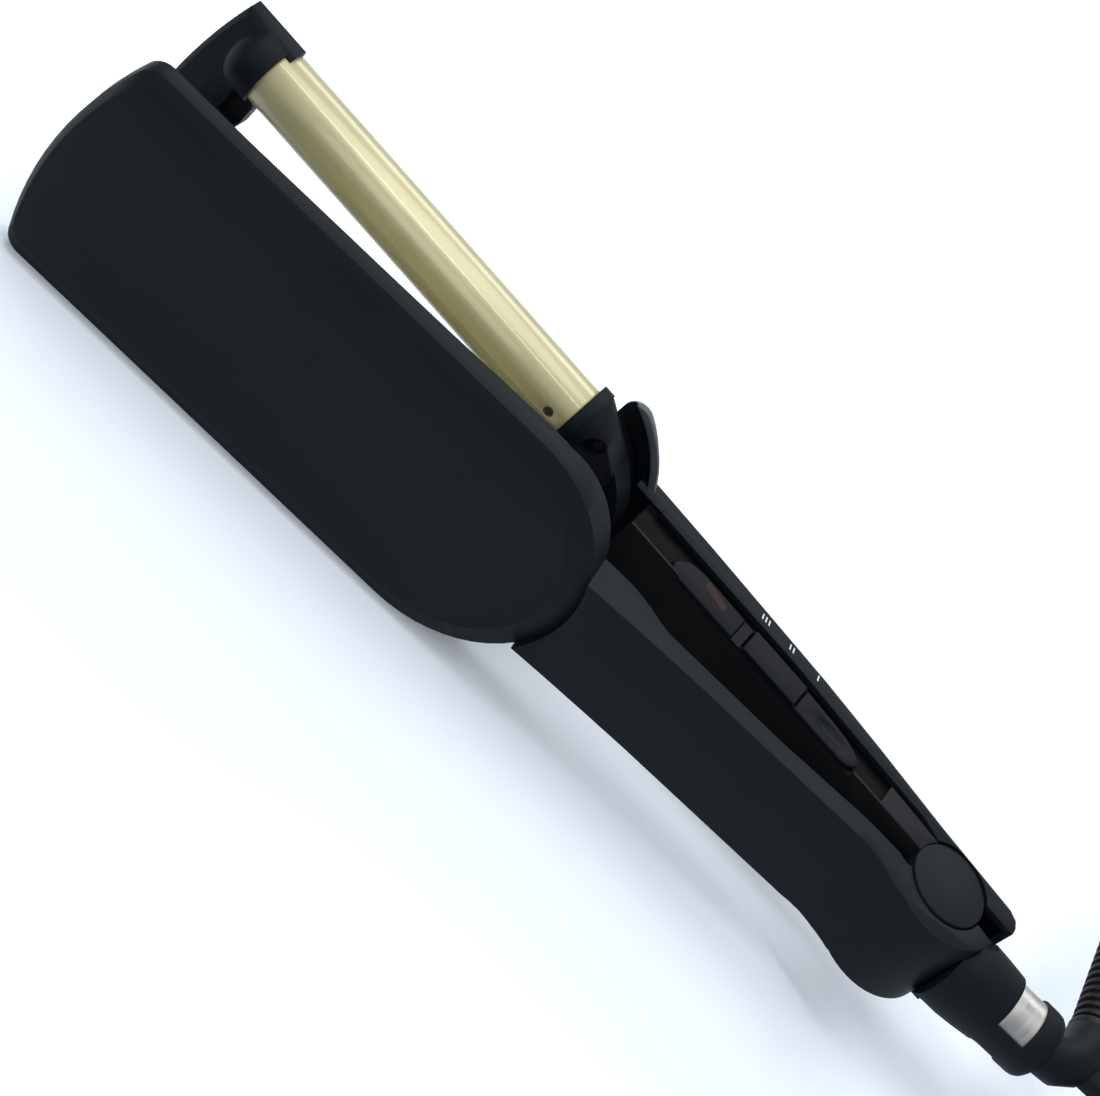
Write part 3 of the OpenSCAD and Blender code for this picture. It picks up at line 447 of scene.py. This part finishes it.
def raised(outline, low, high, rounding=0.0, segments=3):
    """A plate from an outline in (u, w), between two heights, its upper edge rounded."""
    bm = bmesh.new()
    upper = set(drawn(bm, [on_arm(u, w, low) for u, w in outline], (0, 0, (high - low) * MM)))
    if rounding:
        rim = [edge for edge in bm.edges if edge.verts[0] in upper and edge.verts[1] in upper]
        round_edges(bm, rim, rounding, segments)
    return bm


def box(u0, u1, w0, w1, z0, z1):
    return raised([(u0, w0), (u1, w0), (u1, w1), (u0, w1)], z0, z1)


def rod(centre, turn, radius, length, sides=64):
    """A cylinder about its centre."""
    bm = bmesh.new()
    bmesh.ops.create_cone(bm, cap_ends=True, segments=sides, radius1=radius * MM, radius2=radius * MM,
                          depth=length * MM, matrix=Matrix.Translation(centre) @ turn)
    return bm


def disc(u, w0, w1, z, radius, sides=64):
    """A cylinder that runs across the arm."""
    return rod(on_arm(u, (w0 + w1) / 2, z), ACROSS, radius, w1 - w0, sides)


def ring_along(u0, u1, w, z, radius, sides=64):
    """A cylinder that runs along the arm."""
    return rod(on_arm((u0 + u1) / 2, w, z), ALONG, radius, u1 - u0, sides)


def ellipsoid(u, w, z, size):
    bm = bmesh.new()
    bmesh.ops.create_uvsphere(bm, u_segments=32, v_segments=16, radius=1)
    bmesh.ops.scale(bm, verts=bm.verts, vec=[half * MM for half in size])
    bmesh.ops.translate(bm, verts=bm.verts, vec=on_arm(u, w, z))
    return bm


def skin(*parts):
    """The tight skin round several solids."""
    bm = joined(*parts)
    found = bmesh.ops.convex_hull(bm, input=bm.verts)
    inner = set(verts_in(found["geom_interior"] + found["geom_unused"]))
    bmesh.ops.delete(bm, geom=list(inner), context="VERTS")
    kept = {thing for thing in found["geom"] if thing.is_valid and isinstance(thing, bmesh.types.BMFace)}
    bmesh.ops.delete(bm, geom=[face for face in bm.faces if face not in kept], context="FACES_ONLY")
    bmesh.ops.recalc_face_normals(bm, faces=bm.faces)
    return bm


# ------------------------------------------------------------------ switch

# Heights above the arm's middle plane
ISLAND_FACE = 13.6
ISLAND_FOOT = 11.4
STRIP_FACE = 14.2
SUNK = 12.4

# The island across the arm, and its parts along it
LEFT, RIGHT = 0.35, 8.2
FOOT_END, HEAD_START = 52.4, 73.3
STEP = (70.4, 73.1)
STEP_DROP = 0.45
RAILS = (52.6, 70.2)
RAIL_W, RAIL_DROP = 0.7, 0.1
KNOB = (52.9, 69.9)
KNOB_RUNNER = (53.4, 65.2)
KNOB_CLEAR, KNOB_FACE, KNOB_ROUND = 0.02, 0.6, 0.3
RUNNER_IN, RUNNER_LIFT = 0.8, 0.2
ISLAND_ROUND = 0.4
DIMPLE_AT, DIMPLE_LIFT, DIMPLE_SIZE = (42.8, 4.2), 0.35, (5, 2.3, 0.9)
LENS_DEPTH, LENS_ROUND = 0.3, 0.04
PROUD = 0.05

# One, two and three strokes along the outer strip
MARKS = (70.9, 69.85, 68.8, 61.7, 60.6, 52.3)
MARK_EDGES = (12.3, 13.95)
MARK_HALF_W, MARK_SLANT = 0.2, 0.4
MARK_DEPTH, MARK_LIFT = 0.1, 0.03

# The stretch of the inner cover that is sunk round the island: u0, u1, w0, w1
SUNK_FLOOR = (24, 107, 1.0, 9.6)
SUNK_SIDE = (33, 91, -2, 1.02)
ABOVE_COVER = 15
FLOOR_WITHIN = 0.6
FACES_UP = 0.9


def switch_face():
    """The boat shaped island in three parts, with the two rails that the knob slides on."""
    head = [(HEAD_START, LEFT), (90.6, LEFT), (92.4, 0.9), (93.6, 1.9), (94.0, 3.4), (93.1, 5.4),
            (91.4, 7.2), (89, 8.1), (86, 8.4), (HEAD_START, RIGHT)]
    foot = [(FOOT_END, LEFT), (FOOT_END, RIGHT), (43, 7.8), (38.5, 7.2), (35.2, 6.2), (33.6, 5.0),
            (33.1, 3.6), (33.6, 2.1), (35, 0.9), (37, LEFT)]
    dimple = ellipsoid(*DIMPLE_AT, ISLAND_FACE + DIMPLE_LIFT, DIMPLE_SIZE)
    dimpled = cut_by(raised(foot, ISLAND_FOOT, ISLAND_FACE, ISLAND_ROUND), dimple)
    step = box(*STEP, LEFT, RIGHT, ISLAND_FOOT, ISLAND_FACE - STEP_DROP)
    rails = [box(*RAILS, w, w + RAIL_W, ISLAND_FOOT, ISLAND_FACE - RAIL_DROP)
             for w in (LEFT, RIGHT - RAIL_W)]
    return joined(raised(head, ISLAND_FOOT, ISLAND_FACE, ISLAND_ROUND), dimpled, step, *rails)


def knob():
    """The knob's cap, and the runner below it that goes between the rails."""
    outline = [(KNOB[0], LEFT), (KNOB[1], LEFT), (KNOB[1], RIGHT), (KNOB[0], RIGHT)]
    cap = raised(outline, ISLAND_FACE + KNOB_CLEAR, ISLAND_FACE + KNOB_FACE, KNOB_ROUND)
    runner = box(*KNOB_RUNNER, LEFT + RUNNER_IN, RIGHT - RUNNER_IN, ISLAND_FOOT + RUNNER_LIFT,
                 ISLAND_FACE + PROUD)
    return joined(cap, runner)


def lens():
    """The lamp's slanted lens in the island's head."""
    outline = [(85.4, 5.7), (85.3, 7.2), (84.6, 7.8), (79.0, 6.3), (78.3, 5.6), (78.4, 4.4), (79.1, 4.0),
               (84.7, 5.2)]
    return raised(outline, ISLAND_FACE - LENS_DEPTH, ISLAND_FACE + PROUD, LENS_ROUND, 1)


def mark(u):
    """One printed stroke, leaning along the arm."""
    near, far = MARK_EDGES
    outline = [(u - MARK_HALF_W, near), (u + MARK_HALF_W, near),
               (u + MARK_HALF_W + MARK_SLANT, far), (u - MARK_HALF_W + MARK_SLANT, far)]
    return raised(outline, STRIP_FACE - MARK_DEPTH, STRIP_FACE + MARK_LIFT)


def sunk_cover():
    """The inner cover, its side lowered round the island so that a thin rim is left along its near edge.
    The sunk floor takes a near-black as painted shade in the channel.
    """
    bm = cut_by(merged_copy("rear_inner_cover"), box(*SUNK_FLOOR, SUNK, ABOVE_COVER),
                box(*SUNK_SIDE, SUNK, ABOVE_COVER))
    soften(bm, 0.2)
    for face in bm.faces:
        # Upward faces on the sunk floor take the second material, painted shade in the channel.
        height = (face.calc_center_median().z - HINGE.z) / MM
        if face.normal.z > FACES_UP and abs(height - SUNK) < FLOOR_WITHIN:
            face.material_index = 1
    piece = add_piece("inner_cover_fine", bm, cover_black, "rear_inner_cover")
    piece.data.materials.append(channel_painted_shade)


add_piece("switch_face", switch_face(), switch_black, "switch_panel")
add_piece("switch_marks", joined(*[mark(u) for u in MARKS]), mark_white, body="rear_arm",
          slot="switch_black")
add_piece("switch_knob_fine", knob(), switch_black, "slide_knob")
add_piece("lens_fine", lens(), lens_red, "indicator_lens")
sunk_cover()


# ------------------------------------------------------------------ barrel base

# U is along the arm, W or H across it, and Z up from its middle plane
BARREL_Z = 23.5
BARREL_DROP = 1.8
BASE_FRONT = 126
BASE_LOW_H, BASE_HIGH_H, BASE_BACK_H = 1.0, 8.0, 16.3
BLOCK_AT, BLOCK_R = 130, 22.6
STEP_IN, STEP_SUNK = 2.4, 0.2
SHOULDER_U, SHOULDER_R, SHOULDER_BACK = (129.7, 130), 7.9, -0.2
PAD_U, PAD_Z, PAD_R = BASE_FRONT - 4, 15.5, 5.5
SCREW_AT = (125.1, 25.0)
SEAT_W, SEAT_R = -4.8, 2.9
WELL_R, WELL_DEPTH = 2.45, 2.4
SCREW_HEAD_R, SCREW_HEAD = 2.2, (1.1, 2.5)
CROSS_ARMS = ((1.4, 0.3), (0.3, 1.4))
CROSS_DEPTH = 1.6
WELL_TOP = -20
PAST_BASE = (BASE_FRONT, BASE_FRONT + 40, -5, 30, -40, 40)


def base_layer(low, high, radius):
    """One layer of the block, round about the barrels' end and cut off flat at the base's front."""
    return cut_by(disc(BLOCK_AT, low, high, 0, radius), box(*PAST_BASE))


def shoulder(side):
    """A shoulder that runs from a collar down into the block, with a seat for its screw."""
    z = side * BARREL_Z
    u, screw_z = SCREW_AT
    bm = skin(ring_along(*SHOULDER_U, -BARREL_DROP, z, SHOULDER_R),
              ring_along(*SHOULDER_U, SHOULDER_BACK, z, SHOULDER_R),
              disc(PAD_U, BASE_LOW_H, BASE_HIGH_H, side * PAD_Z, PAD_R),
              disc(u, SEAT_W, BASE_LOW_H, side * screw_z, SEAT_R))
    soften(bm, 0.5, angle=30, segments=3)
    return cut_by(bm, disc(u, WELL_TOP, SEAT_W + WELL_DEPTH, side * screw_z, WELL_R, 32))


def base_screw(side):
    """The head of a screw in its well, with a cross cut in it."""
    u, z = SCREW_AT[0], side * SCREW_AT[1]
    low, high = SCREW_HEAD
    cross = [box(u - a, u + a, SEAT_W, SEAT_W + CROSS_DEPTH, z - b, z + b) for a, b in CROSS_ARMS]
    return cut_by(disc(u, SEAT_W + low, SEAT_W + high, z, SCREW_HEAD_R, 32), *cross)


def base_block():
    """The block between the barrels' collars and the handle, with a deep screw on each side."""
    block = base_layer(BASE_LOW_H, BASE_HIGH_H, BLOCK_R)
    step = base_layer(BASE_HIGH_H - STEP_SUNK, BASE_BACK_H, BLOCK_R - STEP_IN)
    for name, side in (("base_screw_upper", 1), ("base_screw_lower", -1)):
        add_piece(name, base_screw(side), dark_steel, "base_screws")
        block = joined(block, shoulder(side))
    add_piece("base_block_fine", joined(block, step), base_black, "barrel_base")


base_block()


# ------------------------------------------------------------------ neck

# The profile's points are along the neck from the hinge, and out from the neck's axis
BALL_X, NECK_W = 36.4, 1.2
NECK_LEAN = math.radians(7)
NECK_PROFILE = [(13, 0), (13, 10.3), (20, 10.3), (24, 9.95), (28, 9.45), (31, 9.1), (41, 9.0),
                (42.2, 8.8), (43.1, 8.3), (43.7, 7.5), (44, 6.5), (44, 0)]
RING_CLEAR_R, RING_CLEAR_LEN = 15.85, 60
SHELL_END_ROOM = (-19, -12, 1.6, 20, -30, 30)
WINDOW = (29.3, 37.4)
WINDOW_REACH = 30
UPPER_HALF_ANGLE, LOWER_HALF_ANGLE = math.radians(66), math.radians(58)
SWIVEL_RING_R, RING_BEYOND = 8.3, 0.4


def leaned(bm):
    """Turns a shape about the upright axis through the swivel's ball, as the neck leans."""
    bmesh.ops.rotate(bm, verts=bm.verts, cent=at_hinge(BALL_X, NECK_W),
                     matrix=Matrix.Rotation(NECK_LEAN, 3, "Z"))
    return bm


def window(half_angle, side):
    """A prism along the neck that opens upward or downward from the neck's axis."""
    start, end = WINDOW
    spread, reach = WINDOW_REACH * math.tan(half_angle), WINDOW_REACH * side
    bm = bmesh.new()
    corners = [at_hinge(start, NECK_W + y, z) for y, z in ((0, 0), (spread, reach), (-spread, reach))]
    drawn(bm, corners, ((end - start) * MM, 0, 0))
    return leaned(bm)


def neck_body():
    """The neck as turned on a lathe."""
    bm = bmesh.new()
    verts = [bm.verts.new(at_hinge(x, NECK_W + radius)) for x, radius in NECK_PROFILE]
    edges = [bm.edges.new(pair) for pair in zip(verts, verts[1:])]
    bmesh.ops.spin(bm, geom=verts + edges, cent=at_hinge(BALL_X, NECK_W), axis=(1, 0, 0), angle=math.tau,
                   steps=72, use_merge=True)
    bmesh.ops.remove_doubles(bm, verts=bm.verts, dist=MERGE * MM)
    bmesh.ops.recalc_face_normals(bm, faces=bm.faces)
    return leaned(bm)


def neck():
    """The sleeve of the cord's swivel, with a window above and below that shows the metal ring."""
    hinge_room = rod(HINGE, UPRIGHT, RING_CLEAR_R, RING_CLEAR_LEN, 96)
    bm = cut_by(neck_body(), hinge_room, window(UPPER_HALF_ANGLE, 1), window(LOWER_HALF_ANGLE, -1),
                box(*SHELL_END_ROOM))
    add_piece("neck_fine", soften(bm, 0.25), shell_black, "neck_sleeve")
    start, end = WINDOW
    ring = ring_along(-end - RING_BEYOND, RING_BEYOND - start, NECK_W, 0, SWIVEL_RING_R, 96)
    add_piece("neck_ring_fine", leaned(ring), brushed_chrome, "swivel_ring")


neck()


# ------------------------------------------------------------------ shells

HEAD_END, HEAD_R = 135, 32
JOINT_END, JOINT_WIDTH = 121, 0.3
SHELL_RECESS = (-19.5, -8, -4, 4.4, 8.6, 16)
FLANGE_START, FLANGE_FRONT = 104, 121
HANDLE_HALF_W = 14.4
FACES_HEAD = -0.3

# How far each softened node's edges are rounded
ROUNDING = {
    "front_head_shell": 0.4, "front_handle_shell": 0.25, "front_handle_cover": 0.3, "cord_tie": 0.3,
    "plug_pins": 0.3, "barrel_collars": 0.15, "tip_cap": 0.3, "hinge_caps": 0.2, "swivel_boot": 0.4,
    "strain_relief": 0.1, "wave_plate": 0.1, "plate_end_blocks": 0.2, "plug_body": 0.2,
    "upper_barrel": 0.1, "lower_barrel": 0.1,
}


def off_the_joint(edge):
    """Whether an edge is clear of the line where the head's round end meets the handle."""
    for vert in edge.verts:
        u, _, z = in_plate_arm(vert.co)
        if u > JOINT_END or abs(math.hypot(u - HEAD_END, z) - HEAD_R) > JOINT_WIDTH:
            return True
    return False


def paint_flange_light(mesh):
    """Gives the flange's outward faces a lighter grey, painted light on the black shell as if they were
    lit.
    """
    mesh.materials.append(flange_painted_light)
    for face in mesh.polygons:
        u, z = (HINGE.x - face.center.x) / MM, (face.center.z - HINGE.z) / MM
        outward = Vector((u - HEAD_END, z)).normalized()
        on_flange = u > FLANGE_START and (u > FLANGE_FRONT or abs(z) > HANDLE_HALF_W)
        if on_flange and outward.dot(Vector((-face.normal.x, face.normal.z))) >= FACES_HEAD:
            face.material_index = 1


def outer_shell():
    """The back shell, opened beside the hinge cap so that its end is a narrow band."""
    bm = soften(cut_by(merged_copy("rear_outer_shell"), box(*SHELL_RECESS)), 0.3)
    # The flange's outward faces take a lighter grey, painted light on the black shell.
    paint_flange_light(add_piece("outer_shell_fine", bm, shell_black, "rear_outer_shell").data)


outer_shell()
PICKS = {"front_head_shell": off_the_joint, "front_handle_shell": off_the_joint}
OTHER_FINISH = {"barrel_collars": base_black}
finished = {name: softened(name, radius, PICKS.get(name), OTHER_FINISH.get(name))
            for name, radius in ROUNDING.items()}


# ------------------------------------------------------------------ cord

CORD_R = 3.0
EXIT_Z, LAY_Z, PLUG_Z = 32.0, 3.9, 7.4
RELIEF_FOOT = Vector((52.2, 18))
RELIEF_LEN, RELIEF_LEAN = 34.4, 9.5
LEAD_STRAIGHT, BEND_R, LEAD_RUN = 9.0, 28.0, 64.0
LEAD_FALL_AFTER, LEAD_FALL_LEN = 6, 100
COIL_MID_R = 36.0
COIL_LAYERS = 4
COIL_TURNS = 6.92
COIL_PITCH = 6.7
LAYER_TURNS = COIL_TURNS / COIL_LAYERS
COIL_OUT_R = COIL_MID_R + COIL_PITCH * LAYER_TURNS / 2
COIL_TOP = LAY_Z + (COIL_LAYERS - 1) * COIL_PITCH
COIL_IN = 60.0
COIL_OUT = COIL_IN - 360 * COIL_TURNS
TAIL_RUN, TAIL_BEND_R, TAIL_STRAIGHT = 35.0, 26.0, 8.0
TAIL_FALL_AFTER, TAIL_FALL_LEN = 8, 72
LEAD_POINTS, COIL_POINTS, TAIL_POINTS = 48, 420, 32


def polar(r, a):
    """A flat step of a length in a direction, in degrees."""
    return Vector((r * math.cos(math.radians(a)), r * math.sin(math.radians(a))))


def eased(x):
    """Goes gently from 0 to 1 as x does."""
    t = max(0.0, min(1.0, x))
    return t * t * (3 - 2 * t)


def cord_path():
    """The cord's middle line: round to the coil, through its turns, and on to the plug."""
    relief_end = RELIEF_FOOT + polar(RELIEF_LEN, 90 + RELIEF_LEAN)
    bend_at = relief_end + polar(LEAD_STRAIGHT, 90 + RELIEF_LEAN) + polar(BEND_R, RELIEF_LEAN)
    bend_len = BEND_R * math.radians(180 + RELIEF_LEAN - COIL_IN)
    lead_len = LEAD_STRAIGHT + bend_len + LEAD_RUN
    coil_start = bend_at + polar(BEND_R, COIL_IN) + polar(LEAD_RUN, COIL_IN - 90)
    coil_at = coil_start - polar(COIL_OUT_R, COIL_IN)
    tail_from = coil_at + polar(COIL_OUT_R, COIL_OUT)
    tail_bend = TAIL_BEND_R * math.pi / 2
    tail_len = TAIL_RUN + tail_bend + TAIL_STRAIGHT

    def lead(s):
        if s < LEAD_STRAIGHT:
            p = relief_end + polar(s, 90 + RELIEF_LEAN)
        elif s < LEAD_STRAIGHT + bend_len:
            p = bend_at + polar(BEND_R, 180 + RELIEF_LEAN - math.degrees((s - LEAD_STRAIGHT) / BEND_R))
        else:
            p = coil_start - polar(lead_len - s, COIL_IN - 90)
        return (*p, EXIT_Z - (EXIT_Z - LAY_Z) * eased((s - LEAD_FALL_AFTER) / LEAD_FALL_LEN))

    def coil(turns):
        layer = math.floor(turns / LAYER_TURNS)
        along = turns / LAYER_TURNS - layer
        r = COIL_OUT_R - COIL_PITCH * LAYER_TURNS * (along if layer % 2 == 0 else 1 - along)
        rise = sum(eased((turns - k * LAYER_TURNS) * 2 + 0.5) for k in range(1, COIL_LAYERS))
        return (*(coil_at + polar(r, COIL_IN - 360 * turns)), LAY_Z + COIL_PITCH * rise)

    def tail(s):
        if s < TAIL_RUN:
            p = tail_from + Vector((s, 0))
        elif s < TAIL_RUN + tail_bend:
            turned = math.degrees((s - TAIL_RUN) / TAIL_BEND_R)
            p = tail_from + Vector((TAIL_RUN, -TAIL_BEND_R)) + polar(TAIL_BEND_R, 90 - turned)
        else:
            p = tail_from + Vector((TAIL_RUN + TAIL_BEND_R, TAIL_RUN + tail_bend - TAIL_BEND_R - s))
        return (*p, COIL_TOP - (COIL_TOP - PLUG_Z) * eased((s - TAIL_FALL_AFTER) / TAIL_FALL_LEN))

    route = [lead(lead_len * i / LEAD_POINTS) for i in range(LEAD_POINTS)]
    route += [coil(COIL_TURNS * i / COIL_POINTS) for i in range(COIL_POINTS)]
    route += [tail(tail_len * i / TAIL_POINTS) for i in range(TAIL_POINTS + 1)]
    return [above_table(*p) for p in route]


def tube_along(path):
    """A round cord's mesh along a path, with closed ends."""
    line = bpy.data.curves.new("cord_line", "CURVE")
    line.dimensions = "3D"
    spline = line.splines.new("POLY")
    spline.points.add(len(path) - 1)
    for point, place in zip(spline.points, path):
        point.co = (*place, 1)
    line.bevel_depth = CORD_R * MM
    line.bevel_resolution = 4
    line.use_fill_caps = True
    guide = bpy.data.objects.new("cord_line", line)
    bpy.context.collection.objects.link(guide)
    bpy.context.view_layer.update()
    mesh = bpy.data.meshes.new_from_object(guide.evaluated_get(bpy.context.evaluated_depsgraph_get()))
    bpy.data.objects.remove(guide)
    for face in mesh.polygons:
        face.use_smooth = True
    return mesh


def lay_cord():
    """The mains cord in one piece."""
    path = cord_path()
    mesh = tube_along(path)
    mesh.name = "mains_cord"
    mesh.materials.clear()
    mesh.materials.append(cord_black)
    cord = bpy.data.objects.new("mains_cord", mesh)
    bpy.context.collection.objects.link(cord)
    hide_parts("cord_lead", "cord_coil", "cord_tail")
    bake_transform(cord)


lay_cord()
